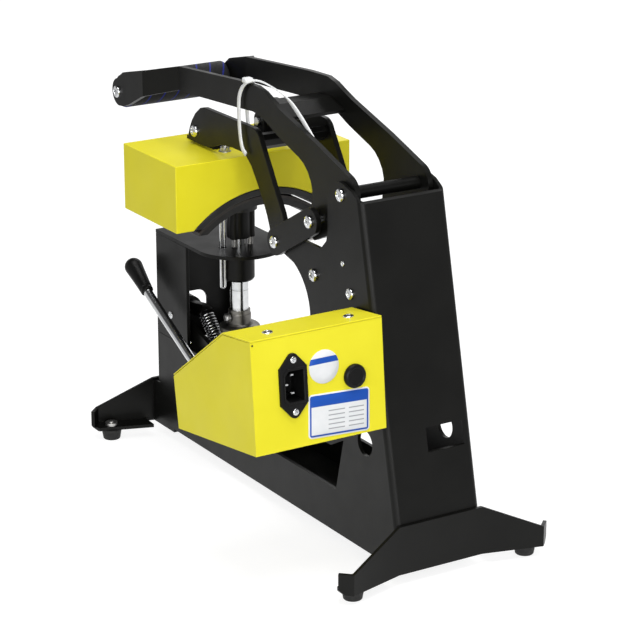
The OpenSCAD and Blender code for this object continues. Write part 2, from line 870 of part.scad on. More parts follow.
// Lever spring: one wire, 8 rings a curl, straight ends
coil_r = 5.9;
function spring_axis(t) = spring_top + (spring_low - spring_top) * t;
spring_n = 8 * spring_curls;
module lever_spring() {
    d = (spring_low - spring_top) / norm(spring_low - spring_top);
    e1 = [1, 0, 0];
    e2 = cross(d, e1);
    pts = [for (i = [0:spring_n])
        spring_axis(i / spring_n) + coil_r * (cos(45 * i) * e1 + sin(45 * i) * e2)];
    pitch = norm(spring_low - spring_top) / spring_curls;
    echo(least_gap = min([for (i = [0:spring_n - 6], j = [i + 6:min(i + 10, spring_n)]) norm(pts[i] - pts[j])]) - wire_d,
        pitch = pitch);
    all = concat([pts[0] - d * wire_d], pts, [pts[spring_n] + d * wire_d]);
    n = len(all);
    pathd = [for (i = [0:n - 1])
        let (a = all[max(i - 1, 0)], b = all[min(i + 1, n - 1)]) (b - a) / norm(b - a)];
    ring = [for (i = [0:n - 1], k = [0:5])
        let (t = i == 0 || i == n - 1 ? d : pathd[i],
            c = i == 0 || i == n - 1 ? e1 * cos(45 * (i - 1)) + e2 * sin(45 * (i - 1))
                : (all[i] - spring_axis((i - 1) / spring_n)),
            f = c - t * (c * t), u = f / norm(f), v = cross(t, u))
        all[i] + wire_d / 2 * (cos(60 * k) * u + sin(60 * k) * v)];
    color("#cfd0cf")
        polyhedron(
            points = ring,
            faces = concat(
                [for (i = [0:n - 2], k = [0:5]) each [
                    [6 * i + k, 6 * i + 6 + k, 6 * i + (k + 1) % 6],
                    [6 * i + (k + 1) % 6, 6 * i + 6 + k, 6 * i + 6 + (k + 1) % 6]
                ]],
                [for (k = [1:4]) [0, k, k + 1]],
                [for (k = [1:4]) [6 * n - 6, 6 * n - 5 + k, 6 * n - 6 + k]]
            )
        );
}

// Control box
module box_outline(inset = 0) {
    polygon(inset_pts(box_pts, inset));
}
function inset_pts(p, d) = [for (i = [0:len(p) - 1])
    let (
        a = p[(i + len(p) - 1) % len(p)], b = p[i], c = p[(i + 1) % len(p)],
        u = (b - a) / norm(b - a), v = (c - b) / norm(c - b),
        nu = [u.y, -u.x], nv = [v.y, -v.x],
        k = d / (1 + nu * nv)
    ) b + (nu + nv) * k];
board_z = 128;
module control_box_body() {
    color("#ddd532") {
        // Spacers against the cheek
        for (c = [[150, 170], [90, 140]])
            x_rod(half_w, box_x + 0.5, c, 5);
        // Pillars under the circuit board
        for (x = [14, 101], y = [84, 164]) {
            floor_z = box_pts[4].y + (y - box_pts[4].x) * (box_pts[3].y - box_pts[4].y) / (box_pts[3].x - box_pts[4].x);
            translate([box_x + x, y, floor_z + box_t / 2]) cylinder(h = board_z - floor_z - box_t / 2, r = 3);
        }
        difference() {
            plate(box_x, box_x + box_w) box_outline();
            plate(box_x + box_t, box_x + box_w - box_t) {
                box_outline(box_t);
                // Open towards the lid
                polygon([box_pts[0] + [2, -1], box_pts[0] + [-20, 30], box_pts[2] + [-10, 40], box_pts[2] + [-2, -1]]);
            }
            plate(box_x - 1, box_x + box_w + 1)
                polygon([box_pts[0] + [-8, -0.2], box_pts[0] + [-20, 30], box_pts[2] + [20, 40],
                    box_pts[2] + [8, -1.3], box_pts[2] + [0, -1.4], box_pts[1] + [0.4, -1.7], box_pts[0] + [0, -1.9]]);
            // Inlet hole in the back
            on_back(inlet_c) cube([24, 20, 29], center = true);
            on_back(fuse_c) rotate([90, 0, 0]) cylinder(h = 20, r = 8.1, center = true);
        }
    }
}
inlet_c = [121.5, 174.5];
fuse_c = [68, 172.2];
// Places children on the back face, with local +Y outwards
module on_back(c) {
    t = (c.y - box_pts[3].y) / (box_pts[2].y - box_pts[3].y);
    y = box_pts[3].x + (box_pts[2].x - box_pts[3].x) * t;
    translate([c.x, y, c.y])
        rotate([-back_a, 0, 0])
            children();
}
// Places children on the panel, with local +Z outwards, X across and Y up the slope
module on_panel(x, up) {
    translate([box_x + x, box_pts[0].x, box_pts[0].y])
        rotate([panel_a, 0, 0])
            translate([0, up, 0])
                children();
}
module control_box_lid() {
    lid_t = 1.2;
    color("#e6df33")
        difference() {
            plate(box_x, box_x + box_w)
                polygon([
                    box_pts[0], box_pts[1], box_pts[2], box_pts[2] + [0.1, -lid_t],
                    box_pts[1] + [0.4, -lid_t], box_pts[0] + [0.4, -lid_t * 0.7]
                ]);
            on_panel(57, 66) cube([62, 34, 10], center = true);
            for (i = [-1:1])
                on_panel(57 + 22 * i, 34) translate([0, 0, -5]) cylinder(h = 10, r = 5.3);
            on_panel(24, 14) cube([20, 15, 12], center = true);
        }
}
module box_screws() {
    lid_a = atan2(box_pts[2].y - box_pts[1].y, box_pts[2].x - box_pts[1].x);
    color("silver")
        for (x = [61, 132])
            translate([x, box_pts[1].x, box_pts[1].y])
                rotate([lid_a, 0, 0])
                    translate([0, 26, 0.03])
                        rotate_extrude()
                            intersection() {
                                square([4.2, 1.9]);
                                translate([0, -4.3]) circle(r = 6.2);
                            }
    // The two screws of the inlet
    color("silver")
        for (up = [-20, 20])
            on_back(inlet_c)
                translate([0, flange_t + 0.03, up])
                    rotate([-90, 0, 0])
                        rotate_extrude()
                            intersection() {
                                square([2.6, 1.4]);
                                translate([0, -2]) circle(r = 3.4);
                            }
}
module display_window() {
    color("#3a1512")
        on_panel(57, 66) cube([61.6, 33.6, 2.6], center = true);
}
module panel_button(i) {
    color("#2b2b2b")
        on_panel(57 + 22 * i, 34)
            translate([0, 0, -2.5]) {
                rotate_extrude()
                    polygon(concat([[0, 0], [5, 0]], arc([0, -7], 12, acos(5 / 12), 86, 8), [[0, 5]]));
                // Stem down to the board
                translate([0, 0, -6]) cylinder(h = 7, r = 2);
            }
}
module set_button() {
    panel_button(-1);
}
module up_button() {
    panel_button(0);
}
module down_button() {
    panel_button(1);
}
module power_switch() {
    color("#7c1512")
        on_panel(24, 14)
            rotate([0, 90, 0]) {
                linear_extrude(19, center = true)
                    polygon([[1.5, -6.6], [-2.6, -6.6], [-1.2, 0], [-0.2, 6.6], [1.5, 6.6]]);
                cylinder(h = 19.6, r = 1.1, center = true);
            }
}
flange_t = 2.2;
flange_side = [12, 14];
flange_end_r = 5;
// Where the slant from the side meets the round end
flange_slant = [flange_side.x, 20 - flange_side.y];
flange_turn = acos(flange_end_r / norm(flange_slant)) - atan2(flange_slant.y, flange_slant.x);
module power_inlet() {
    color("#161616")
        on_back(inlet_c) {
            rotate([-90, 0, 0])
                linear_extrude(flange_t)
                    difference() {
                        polygon(concat(
                            [[flange_side.x, -flange_side.y], flange_side],
                            arc([0, 20], flange_end_r, flange_turn, 180 - flange_turn, 14),
                            [[-flange_side.x, flange_side.y], -flange_side],
                            arc([0, -20], flange_end_r, 180 + flange_turn, 360 - flange_turn, 14)
                        ));
                        square([16, 24], center = true);
                    }
            difference() {
                translate([-11.5, -18, -14]) cube([23, 18, 28]);
                translate([-8, -16, -12]) cube([16, 20, 24]);
            }
            // Three flat pins
            for (c = [[-2, 7], [-2, -7], [3, 0]])
                translate([c.x - 2, -17, c.y - 1]) cube([4, 8.5, 2]);
        }
}
module fuse_cap() {
    color("#151515")
        on_back(fuse_c) {
            rotate([-90, 0, 0]) {
                translate([0, 0, -16]) cylinder(h = 16.3, r = 8);
                rotate_extrude()
                    polygon([[0, 0.2], [9.3, 0.2], [9.3, 2.4], [8.7, 3.5], [7.6, 4.2], [6.4, 4.2], [6, 3.7], [0, 3.7]]);
            }
        }
}
// A round inspection dot and a bare rating plate
module label_plates() {
    color("#f2f2ee") {
        on_back([94, 184]) rotate([-90, 0, 0]) translate([0, 0, 0.01]) cylinder(h = 0.5, r = 13);
        // The plate sits a little askew
        on_back([82.6, 146])
            rotate([-90, -3, 0])
                translate([0, 0, 0.01])
                    linear_extrude(0.5)
                        union() {
                            square([48, 34], center = true);
                            square([54, 28], center = true);
                            for (x = [-24, 24], z = [-14, 14])
                                translate([x, z]) circle(r = 3);
                        }
    }
}
module electronics() {
    color("#1f5a33")
        translate([box_x + 8, 78, board_z]) cube([99, 92, 1.6]);
}

main_frame();
rear_foot_bar();
front_foot_bar();
rubber_feet();
foot_bolts();
column_deck();
front_pedestal();
platen_shelf();
shelf_collar();
post_socket();
post_clamp_screw();
frame_screws();
handle_plate_left();
handle_plate_right();
handle_cross_tube();
handle_cross_plate();
grip_rod();
handle_grip();
grip_screws();
handle_pivot_bolts();
link_pins();
cable_tie();
toggle_link_left();
toggle_link_right();
link_bolts();
heater_arm_left();
heater_arm_right();
heater_arm_web();
arm_pivot_rod();
arm_cross_rod();
heater_hinge_bolts();
heater_hanger();
heater_housing();
heater_platen();
heating_element();
insulation_pad();
heater_nuts();
platen_post();
platen_hub();
platen_studs();
guide_rod();
lower_platen();
silicone_pad();
lever_shaft();
lever_rod();
lever_knob();
cap_hook_arm();
lever_spring();
control_box_body();
control_box_lid();
box_screws();
display_window();
set_button();
up_button();
down_button();
power_switch();
power_inlet();
fuse_cap();
label_plates();
electronics();
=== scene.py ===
import json
import math

import bmesh
import bpy
import numpy as np
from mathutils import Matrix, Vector

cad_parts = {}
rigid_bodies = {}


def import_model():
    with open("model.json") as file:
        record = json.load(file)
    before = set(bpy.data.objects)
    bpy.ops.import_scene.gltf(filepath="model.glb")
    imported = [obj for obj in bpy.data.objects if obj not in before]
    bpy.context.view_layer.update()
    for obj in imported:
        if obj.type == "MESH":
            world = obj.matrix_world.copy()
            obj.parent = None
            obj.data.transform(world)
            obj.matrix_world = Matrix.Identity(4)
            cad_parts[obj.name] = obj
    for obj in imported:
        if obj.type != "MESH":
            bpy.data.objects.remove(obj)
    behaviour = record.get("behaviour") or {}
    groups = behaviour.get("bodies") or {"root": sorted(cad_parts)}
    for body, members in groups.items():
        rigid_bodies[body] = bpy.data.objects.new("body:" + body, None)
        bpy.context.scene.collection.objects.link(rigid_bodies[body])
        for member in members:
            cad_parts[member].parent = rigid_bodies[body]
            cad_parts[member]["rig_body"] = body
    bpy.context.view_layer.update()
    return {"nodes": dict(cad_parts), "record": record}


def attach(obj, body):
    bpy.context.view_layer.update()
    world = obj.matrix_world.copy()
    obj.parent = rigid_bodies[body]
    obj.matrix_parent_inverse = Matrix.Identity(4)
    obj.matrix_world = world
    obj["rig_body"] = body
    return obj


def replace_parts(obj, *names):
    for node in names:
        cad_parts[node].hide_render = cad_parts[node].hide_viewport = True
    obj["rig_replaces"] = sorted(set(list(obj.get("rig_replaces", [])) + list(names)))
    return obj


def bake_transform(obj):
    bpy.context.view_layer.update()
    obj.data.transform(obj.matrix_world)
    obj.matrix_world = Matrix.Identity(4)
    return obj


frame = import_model()
mm = 0.001
print("frame loaded:", len(frame["nodes"]), "nodes")


class Steps:
    # Short names for the nodes of one material
    def __init__(self, tree):
        self.nodes, self.links = tree.nodes, tree.links

    def do(self, operation, a, b=None):
        step = self.nodes.new("ShaderNodeMath")
        step.operation = operation
        for socket, value in zip(step.inputs, (a, b)):
            if isinstance(value, (int, float)):
                socket.default_value = value
            elif value is not None:
                self.links.new(value, socket)
        return step.outputs[0]

    def ranged(self, value, fromRange, toRange=(0, 1)):
        # Carries one range of values to another, and stays at its ends outside it
        ramp = self.nodes.new("ShaderNodeMapRange")
        for socket, number in zip(("From Min", "From Max", "To Min", "To Max"), (*fromRange, *toRange)):
            ramp.inputs[socket].default_value = number
        self.links.new(value, ramp.inputs["Value"])
        return ramp.outputs["Result"]

    def soft(self, value, edge, blur):
        # 0 below the edge, 1 above it
        return self.ranged(value, (edge - blur, edge + blur))

    def between(self, value, low, high, blur=0.05):
        below = self.do("SUBTRACT", 1, self.soft(value, high, blur))
        return self.do("MULTIPLY", self.soft(value, low, blur), below)

    def tint(self, under, colour, share, target):
        # Lays a colour over what is there, as strongly as share says
        blend = self.nodes.new("ShaderNodeMix")
        blend.data_type = "RGBA"
        self.links.new(share, blend.inputs[0])
        self.links.new(under, blend.inputs[6])
        blend.inputs[7].default_value = (*colour, 1)
        self.links.new(blend.outputs[2], target)
        return blend.outputs[2]

    def split(self, vector):
        parts = self.nodes.new("ShaderNodeSeparateXYZ")
        self.links.new(vector, parts.inputs[0])
        return parts.outputs

    def bump(self, height, strength, tall, shader):
        made = self.nodes.new("ShaderNodeBump")
        made.inputs["Strength"].default_value = strength
        made.inputs["Distance"].default_value = tall * mm
        self.links.new(height, made.inputs["Height"])
        self.links.new(made.outputs["Normal"], shader.inputs["Normal"])


# Camera, floor and light
camera = {
    "place": (1.04179, 1.696132, 0.824265),
    "look": (-0.5005, -0.8046, -0.3196),
    "lens": 143.4,
    "film": 36,
    "farEnd": 30,
}


def makeCamera():
    cam = bpy.data.objects.new("viewCamera", bpy.data.cameras.new("viewCamera"))
    bpy.context.scene.collection.objects.link(cam)
    cam.location = camera["place"]
    cam.rotation_mode = "QUATERNION"
    cam.rotation_quaternion = Vector(camera["look"]).to_track_quat("-Z", "Y")
    cam.data.lens = camera["lens"]
    cam.data.sensor_width = camera["film"]
    cam.data.clip_end = camera["farEnd"]
    bpy.context.scene.camera = cam


stageLook = {
    "floorSize": 24,
    "floorColour": (0.3, 0.3, 0.3, 1),
    "floorRough": 0.9,
    "floorLift": 0.83,             # what the camera sees of the floor, above its own light
    "glossyShare": (0.9, 0.34),    # the share that reflections see of it, near and far
    "glossyReach": (0.3, 0.95),    # how far out near ends and far begins, in metres
    "worldLight": 0.38,
    "worldGlossy": (0.75, 0.08),   # what reflections see of the background, low down and overhead
    "glossyRise": (0.2, 0.55),     # where low down ends and overhead begins, as the sine of the height
    "softboxes": [
        # place, aimed at, width, height, watts
        ((0.0, 0.5, 2.3), (0, 0, 0.15), 1.6, 1.4, 37),
        ((2.1, 1.5, 0.9), (0, 0, 0.2), 1.2, 1.5, 18),
        ((1.1, 2.5, 0.7), (0, 0, 0.2), 1.6, 1.2, 33),
        ((-1.8, -1.7, 1.5), (0, 0, 0.2), 1.3, 1.3, 10),
    ],
}


def makeFloor():
    bpy.ops.mesh.primitive_plane_add(size=stageLook["floorSize"])
    floor = bpy.context.object
    floor.name = "studioFloor"
    material = bpy.data.materials.new("floorPaper")
    material.use_nodes = True
    steps = Steps(material.node_tree)
    shader = steps.nodes["Principled BSDF"]
    shader.inputs["Base Color"].default_value = stageLook["floorColour"]
    shader.inputs["Roughness"].default_value = stageLook["floorRough"]
    path = steps.nodes.new("ShaderNodeLightPath")
    away = steps.nodes.new("ShaderNodeVectorMath")
    away.operation = "LENGTH"
    steps.links.new(steps.nodes.new("ShaderNodeTexCoord").outputs["Object"], away.inputs[0])
    fall = steps.ranged(away.outputs["Value"], stageLook["glossyReach"], stageLook["glossyShare"])
    mirrored = steps.do("MULTIPLY", path.outputs["Is Glossy Ray"], fall)
    seen = steps.do("MAXIMUM", path.outputs["Is Camera Ray"], mirrored)
    shader.inputs["Emission Color"].default_value = (1, 1, 1, 1)
    steps.links.new(steps.do("MULTIPLY", seen, stageLook["floorLift"]), shader.inputs["Emission Strength"])
    floor.data.materials.append(material)


def makeWorld():
    world = bpy.data.worlds.new("studioWorld")
    bpy.context.scene.world = world
    world.use_nodes = True
    steps = Steps(world.node_tree)
    path = steps.nodes.new("ShaderNodeLightPath")
    plain = steps.ranged(path.outputs["Is Camera Ray"], (0, 1), (stageLook["worldLight"], 1))
    way = steps.split(steps.nodes.new("ShaderNodeTexCoord").outputs["Generated"])
    dimmed = steps.nodes.new("ShaderNodeMix")
    steps.links.new(path.outputs["Is Glossy Ray"], dimmed.inputs["Factor"])
    steps.links.new(plain, dimmed.inputs["A"])
    mirrored = steps.ranged(way[2], stageLook["glossyRise"], stageLook["worldGlossy"])
    steps.links.new(mirrored, dimmed.inputs["B"])
    back = steps.nodes["Background"]
    back.inputs["Color"].default_value = (1, 1, 1, 1)
    steps.links.new(dimmed.outputs["Result"], back.inputs["Strength"])


def makeSoftboxes():
    for i, (place, aim, width, height, watts) in enumerate(stageLook["softboxes"]):
        lamp = bpy.data.lights.new(f"softbox{i}", "AREA")
        lamp.shape = "RECTANGLE"
        lamp.size, lamp.size_y, lamp.energy = width, height, watts
        box = bpy.data.objects.new(f"softbox{i}", lamp)
        bpy.context.scene.collection.objects.link(box)
        box.location = place
        box.rotation_mode = "QUATERNION"
        box.rotation_quaternion = (Vector(aim) - Vector(place)).to_track_quat("-Z", "Y")
    bpy.context.scene.view_settings.view_transform = "Standard"


makeCamera()
makeFloor()
makeWorld()
makeSoftboxes()
print("camera and light ready")


noiseLook = {
    "toneTurn": (0.32, 0.68),    # where the noise turns from the dark tone to the light one
    "roughTurn": (0.3, 0.7),
    "roughCloud": 0.45,          # size of the roughness clouds, as a share of the tone clouds
    "grainStrength": 0.5,
    "steelCloud": 9,
    "steelMarks": 300,
    "steelStrength": 0.25,
    "steelTall": 0.02,
}


def startFinish(name, dark, light, cloud, rough, metal=0.0, grain=None, gloss=0.5):
    # Two tones mixed by soft noise, roughness that wanders with a second noise, and a fine
    # bump of its own size in millimetres: grain is (size, height)
    material = bpy.data.materials.new(name)
    material.use_nodes = True
    steps = Steps(material.node_tree)
    shader = steps.nodes["Principled BSDF"]
    shader.inputs["Metallic"].default_value = metal
    shader.inputs["Specular IOR Level"].default_value = gloss
    place = steps.nodes.new("ShaderNodeTexCoord").outputs["Object"]

    def noise(size, detail):
        made = steps.nodes.new("ShaderNodeTexNoise")
        made.inputs["Scale"].default_value = 1 / (size * mm)
        made.inputs["Detail"].default_value = detail
        steps.links.new(place, made.inputs["Vector"])
        return made.outputs["Fac"]

    tones = steps.nodes.new("ShaderNodeValToRGB")
    for stop, position, colour in zip(tones.color_ramp.elements, noiseLook["toneTurn"], (dark, light)):
        stop.position = position
        stop.color = (*colour, 1)
    steps.links.new(noise(cloud, 4), tones.inputs["Fac"])
    steps.links.new(tones.outputs["Color"], shader.inputs["Base Color"])
    spread = steps.ranged(noise(cloud * noiseLook["roughCloud"], 5), noiseLook["roughTurn"], rough)
    steps.links.new(spread, shader.inputs["Roughness"])
    if grain:
        steps.bump(noise(grain[0], 2), noiseLook["grainStrength"], grain[1], shader)
    return material, shader, tones, place


def turnedSteel(name, dark, light, rough, ring):
    # The marks are a noise squeezed along Z, which reads as drawn or turned metal on rods and
    # plates alike
    material, shader, _, place = startFinish(name, dark, light, noiseLook["steelCloud"], rough, 1.0)
    steps = Steps(material.node_tree)
    squeeze = steps.nodes.new("ShaderNodeMapping")
    squeeze.inputs["Scale"].default_value = (1, 1, ring)
    steps.links.new(place, squeeze.inputs["Vector"])
    marks = steps.nodes.new("ShaderNodeTexNoise")
    marks.inputs["Scale"].default_value = noiseLook["steelMarks"]
    marks.inputs["Detail"].default_value = 3
    steps.links.new(squeeze.outputs["Vector"], marks.inputs["Vector"])
    steps.bump(marks.outputs["Fac"], noiseLook["steelStrength"], noiseLook["steelTall"], shader)
    return material


plainFinishes = {
    # name, dark tone, light tone, size of the clouds in mm, roughness, metal, grain, gloss
    "black_paint": ("satinBlack", (0.0034, 0.0034, 0.0030), (0.0056, 0.0056, 0.0050),
                    45, (0.30, 0.40), 0, (0.9, 0.05), 0.18),
    "yellow_paint": ("lemonPaint", (0.79, 0.71, 0.02), (0.84, 0.76, 0.028),
                     60, (0.36, 0.46), 0, (1.1, 0.05), 0.3),
    "foot_rubber": ("footRubber", (0.010, 0.010, 0.010), (0.018, 0.018, 0.017),
                    6, (0.62, 0.78), 0, (0.5, 0.08), 0.4),
    "pad_silicone": ("padSilicone", (0.022, 0.018, 0.016), (0.034, 0.028, 0.025),
                     12, (0.5, 0.62), 0, (0.8, 0.06), 0.5),
    "platen_aluminium": ("coatedPlaten", (0.018, 0.018, 0.018), (0.032, 0.032, 0.032),
                         18, (0.4, 0.52), 0.4, (0.5, 0.03), 0.5),
    "black_plastic": ("mouldedBlack", (0.004, 0.004, 0.004), (0.007, 0.007, 0.007),
                      14, (0.32, 0.42), 0, (0.4, 0.02), 0.16),
    "white_plastic": ("tieNylon", (0.74, 0.75, 0.75), (0.84, 0.85, 0.85),
                      8, (0.34, 0.46), 0, (0.7, 0.03), 0.5),
    "display_red": ("displayWindow", (0.035, 0.004, 0.004), (0.055, 0.006, 0.005),
                    12, (0.06, 0.12), 0, None, 0.5),
    "insulation_wool": ("insulationWool", (0.52, 0.49, 0.40), (0.68, 0.64, 0.54),
                        3, (0.85, 0.95), 0, (0.8, 0.5), 0.5),
    "element_foil": ("elementFoil", (0.34, 0.17, 0.03), (0.46, 0.25, 0.05),
                     6, (0.2, 0.34), 0, (1.2, 0.04), 0.5),
    "board_green": ("boardGreen", (0.012, 0.10, 0.035), (0.022, 0.15, 0.055),
                    7, (0.3, 0.46), 0, (0.9, 0.05), 0.5),
}
steelFinishes = {
    # name, dark tone, light tone, roughness, how many times the marks are squeezed
    "bright_steel": ("brightSteel", (0.66, 0.67, 0.68), (0.78, 0.79, 0.80), (0.12, 0.22), 5),
    "zinc_steel": ("zincSteel", (0.42, 0.42, 0.41), (0.58, 0.57, 0.55), (0.28, 0.42), 4),
    "dark_steel": ("oiledSteel", (0.13, 0.125, 0.115), (0.24, 0.23, 0.21), (0.3, 0.46), 4),
}
gripLook = {
    "centre": (-221.5, 307.5), "radius": 14.5, "half": 50.4,
    "every": 13.5, "wide": 1.5, "lean": 0.45, "blur": 0.01,
    "dark": (0.008, 0.008, 0.009), "light": (0.015, 0.015, 0.017), "line": (0.012, 0.02, 0.20),
}


def foamFinish():
    # Thin blue lines that run slantwise round the grip: a line stands wherever the distance along
    # the grip plus a share of the way round it is a whole multiple of the spacing
    material, shader, tones, place = startFinish(
        "gripFoam", gripLook["dark"], gripLook["light"], 5, (0.55, 0.72), 0, (0.6, 0.12), 0.3)
    steps = Steps(material.node_tree)
    along, y, z = steps.split(place)
    y = steps.do("SUBTRACT", y, gripLook["centre"][0] * mm)
    z = steps.do("SUBTRACT", z, gripLook["centre"][1] * mm)
    way = steps.do("MULTIPLY", steps.do("ARCTAN2", z, y), gripLook["radius"] * mm * gripLook["lean"])
    count = steps.do("DIVIDE", steps.do("ADD", along, way), gripLook["every"] * mm)
    share = steps.do("FRACT", steps.do("ADD", count, 100))    # 100 keeps the count above zero
    line = steps.do("SUBTRACT", 1, steps.soft(share, gripLook["wide"] / gripLook["every"], gripLook["blur"]))
    steps.tint(tones.outputs["Color"], gripLook["line"], line, shader.inputs["Base Color"])
    return material


labelLook = {
    "paper": [(0.74, 0.76, 0.77), (0.80, 0.81, 0.82)],
    "blue": (0.010, 0.078, 0.42),
    "grey": (0.30, 0.31, 0.33),
    "dot": {"centre": (94, 184), "radius": 13, "band": (2.6, 7.2)},
    "plate": {
        "centre": (82.6, 146), "half": (27, 17), "corner": 3, "askew": 3,
        "border": (1.1, 2.5), "headerIn": 1.2, "headerUp": 7.2,
        "ruleStart": 12.6, "ruleEvery": 3.5, "ruleShare": (0.34, 0.56), "ruleRows": (-12.4, 4.6),
        "ruleColumns": [(-22, -8.5), (-5, 9.5)],
    },
}


def labelFinish(name, paint):
    # Reads labelPlace, the place on the film in millimetres from its middle
    material, shader, tones, _ = startFinish(
        name, *labelLook["paper"], 10, (0.36, 0.46), 0, (1.5, 0.01), 0.25)
    steps = Steps(material.node_tree)
    spot = steps.nodes.new("ShaderNodeAttribute")
    spot.attribute_name = "labelPlace"
    u, v, _ = steps.split(spot.outputs["Vector"])
    paint(steps, u, v, tones.outputs["Color"], shader.inputs["Base Color"])
    return material


def paintDot(steps, u, v, under, target):
    steps.tint(under, labelLook["blue"], steps.between(v, *labelLook["dot"]["band"]), target)


def paintPlate(steps, u, v, under, target):
    # Blue where the distance to the rounded outline is that of the printed border, or above the
    # header line inside it, and plain grey rules where a table would stand
    plate = labelLook["plate"]
    r = plate["corner"]
    past = [steps.do("SUBTRACT", steps.do("ABSOLUTE", p), half - r)
            for p, half in zip((u, v), plate["half"])]
    over = [steps.do("MAXIMUM", p, 0) for p in past]
    corner = steps.do("SQRT", steps.do("ADD", *[steps.do("MULTIPLY", p, p) for p in over]))
    flat = steps.do("MINIMUM", steps.do("MAXIMUM", *past), 0)
    depth = steps.do("SUBTRACT", r, steps.do("ADD", corner, flat))
    border = steps.between(depth, *plate["border"])
    inside = steps.soft(depth, plate["headerIn"], 0.05)
    header = steps.do("MULTIPLY", inside, steps.soft(v, plate["headerUp"], 0.05))
    blue = steps.tint(under, labelLook["blue"], steps.do("MAXIMUM", border, header), target)
    row = steps.do("FRACT", steps.do("DIVIDE", steps.do("ADD", v, plate["ruleStart"]), plate["ruleEvery"]))
    rows = steps.do("MULTIPLY", steps.between(row, *plate["ruleShare"]),
                    steps.between(v, *plate["ruleRows"]))
    columns = steps.do("MAXIMUM", *[steps.between(u, *ends) for ends in plate["ruleColumns"]])
    steps.tint(blue, labelLook["grey"], steps.do("MULTIPLY", rows, columns), target)


finishes = {slot: startFinish(*look)[0] for slot, look in plainFinishes.items()}
finishes.update({slot: turnedSteel(*look) for slot, look in steelFinishes.items()})
finishes["grip_foam"] = foamFinish()
finishes["label_film"] = labelFinish("labelFilm", paintPlate)
dotFilm = labelFinish("dotFilm", paintDot)
slotOf = {s["node"]: s["material_slot"] for s in frame["record"]["subparts"]}
bodyOf = {n: b for b, members in frame["record"]["behaviour"]["bodies"].items() for n in members}
print("finishes ready:", len(finishes))


# Sheet and solid pieces, with their edges broken
join = 2e-6    # points closer than this, in metres, are one
edges = {
    "usual": 0.35,      # edge width in millimetres
    "rows": 2,
    "flat": 0.4,        # degrees up to which neighbouring faces are one flat face
    "fold": 17,         # degrees from which two faces meet as a fold
    "corner": 32,       # degrees from which an edge is broken
    "weight": 100,
    # Nodes whose edges are wider
    "heater_housing": 1.3,
    "control_box_body": 0.9,
    "handle_plate_left": 0.5,
    "handle_plate_right": 0.5,
    "lower_platen": 0.8,
    "heater_platen": 0.8,
    "silicone_pad": 1.0,
    "display_window": 0.4,
    "post_socket": 0.5,
}


def brokenEdges(node):
    # A copy of the CAD piece: doubles merged, flat triangles joined, edges rounded
    mesh = frame["nodes"][node].data.copy()
    mesh.materials.clear()
    mesh.materials.append(finishes[slotOf[node]])
    work = bmesh.new()
    work.from_mesh(mesh)
    bmesh.ops.remove_doubles(work, verts=work.verts, dist=join)
    bmesh.ops.dissolve_limit(
        work, angle_limit=math.radians(edges["flat"]), verts=work.verts, edges=work.edges)
    work.to_mesh(mesh)
    work.free()
    mesh.shade_smooth()
    mesh.set_sharp_from_angle(angle=math.radians(edges["fold"]))
    piece = bpy.data.objects.new(node + "_piece", mesh)
    bpy.context.scene.collection.objects.link(piece)
    bevel = piece.modifiers.new("brokenEdges", "BEVEL")
    bevel.width = edges.get(node, edges["usual"]) * mm
    bevel.segments = edges["rows"]
    bevel.limit_method = "ANGLE"
    bevel.angle_limit = math.radians(edges["corner"])
    weighted = piece.modifiers.new("flatFaces", "WEIGHTED_NORMAL")
    weighted.keep_sharp = True
    weighted.weight = edges["weight"]
    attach(piece, bodyOf[node])
    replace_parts(piece, node)
    return piece


def turned(profile, place, axis, columns=40):
    # A profile of (radius, distance along the axis) carried round the axis through place
    axis = np.array(axis, float) / np.linalg.norm(axis)
    side = np.cross(axis, (0, 0, 1) if abs(axis[2]) < 0.9 else (1, 0, 0))
    side /= np.linalg.norm(side)
    third = np.cross(axis, side)
    turn = np.linspace(0, 2 * np.pi, columns, endpoint=False)
    radius, along = np.array(profile, float).T
    ring = np.cos(turn)[:, None] * side + np.sin(turn)[:, None] * third
    return np.array(place, float) + along[:, None, None] * axis + radius[:, None, None] * ring


def capped(rows, first, last):
    # The rows with a single point before and behind them, which closes both ends
    return np.concatenate([rows[:1] * 0 + first, rows, rows[-1:] * 0 + last])


def swept(path, profile):
    # A closed profile of (across, up) carried along a path, turned as little as it can be
    path = np.array(path, float)
    ahead = np.gradient(path, axis=0)
    ahead /= np.linalg.norm(ahead, axis=1)[:, None]
    normal = np.zeros_like(path)
    n = np.cross(ahead[0], (1, 0, 0))
    for i, t in enumerate(ahead):
        n = n - t * (n @ t)
        n /= np.linalg.norm(n)
        normal[i] = n
    other = np.cross(ahead, normal)
    across, up = np.array(profile, float).T
    rows = path[:, None] + across[None, :, None] * other[:, None] + up[None, :, None] * normal[:, None]
    return capped(rows, path[0], path[-1])


def circle(radius, sides):
    turn = np.linspace(0, 2 * np.pi, sides, endpoint=False)
    return np.stack([radius * np.cos(turn), radius * np.sin(turn)], 1)


